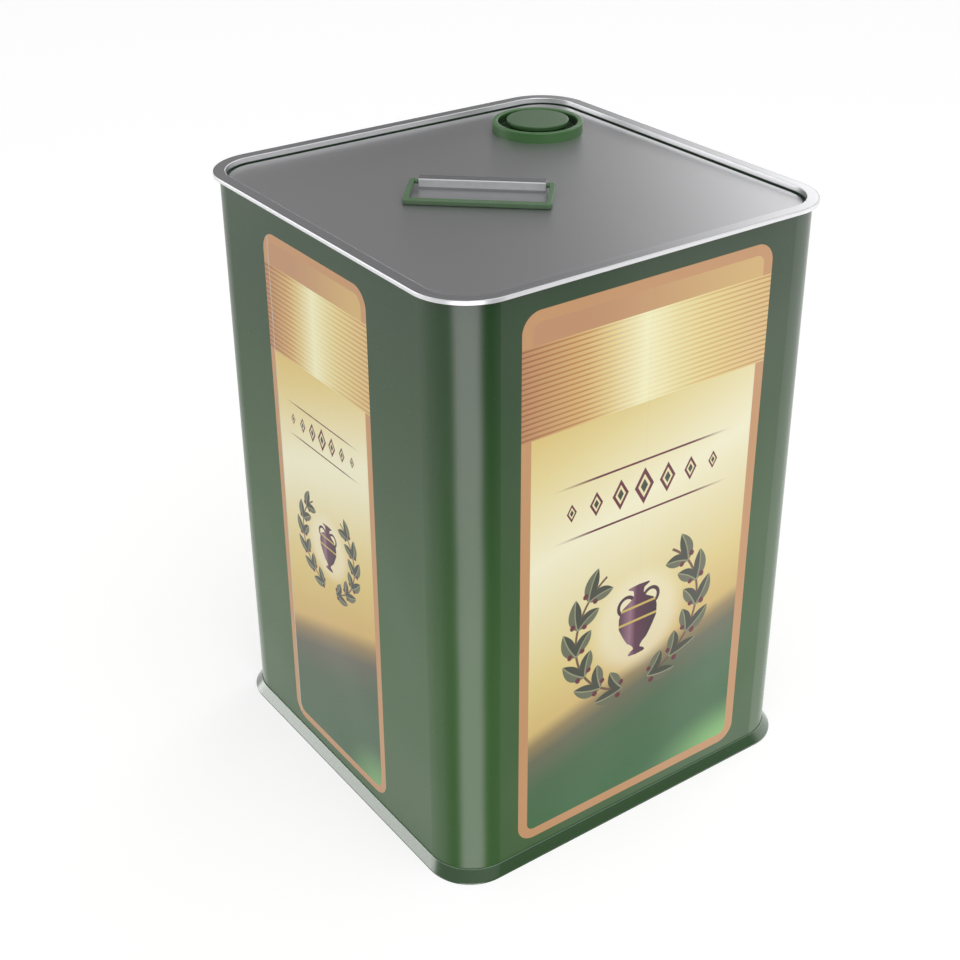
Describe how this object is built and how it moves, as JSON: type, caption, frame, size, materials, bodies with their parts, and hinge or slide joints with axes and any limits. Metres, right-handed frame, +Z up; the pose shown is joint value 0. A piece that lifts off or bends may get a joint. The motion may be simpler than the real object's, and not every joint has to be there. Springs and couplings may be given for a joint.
{
  "type": "olive oil tin",
  "caption": "Square seamed oil tin with a recessed lid, a folding loop handle and a nested pull-out pouring spout under a screw cap.",
  "frame": {"origin": "middle of the flat foot ring that the tin stands on", "axes": "+Z up, -Y out of the main printed face, +X to the right of that face"},
  "size_m": [0.249, 0.249, 0.3506],
  "materials": {
    "printed_lacquer": "semi-gloss green lacquer with a printed panel",
    "green_lacquer": "semi-gloss green lacquer",
    "bare_tinplate": "bright rolled tinplate",
    "handle_plastic": "satin moulded",
    "spout_plastic": "semi-gloss moulded",
    "seam_rubber": "matt",
    "liner_foam": "matt"
  },
  "bodies": {
    "tin": {"body_shell": "printed_lacquer", "top_end": "bare_tinplate", "bottom_end": "green_lacquer", "top_seam_compound": "seam_rubber", "bottom_seam_compound": "seam_rubber", "handle_bracket": "bare_tinplate", "neck_gasket": "seam_rubber", "spout_collar": "spout_plastic"},
    "handle": {"carry_handle": "handle_plastic"},
    "spout": {"spout_nozzle": "spout_plastic", "tamper_band": "spout_plastic"},
    "cap_seal": {"cap_liner": "liner_foam"},
    "cap": {"spout_cap": "spout_plastic"}
  },
  "joints": [
    {"name": "handle_swing", "type": "hinge", "parent": "tin", "child": "handle", "pos_m": [-0.01398, 0.00552, 0.3469], "axis": [-0.7455, 0.6665, 0], "range_deg": [0, 186]},
    {"name": "spout_pull", "type": "slide", "parent": "tin", "child": "spout", "axis": [0, 0, 1], "range_m": [0, 0.016]},
    {"name": "cap_rise", "type": "slide", "parent": "spout", "child": "cap_seal", "axis": [0, 0, 1], "range_m": [0, 0.00301]},
    {"name": "cap_turn", "type": "hinge", "parent": "cap_seal", "child": "cap", "pos_m": [0.0731, 0.0714, 0.3485], "axis": [0, 0, 1], "range_deg": [0, 450]}
  ],
  "couplings": [
    {"joint": "cap_rise", "follows": "cap_turn", "m_per_rad": 0.00038197}
  ]
}
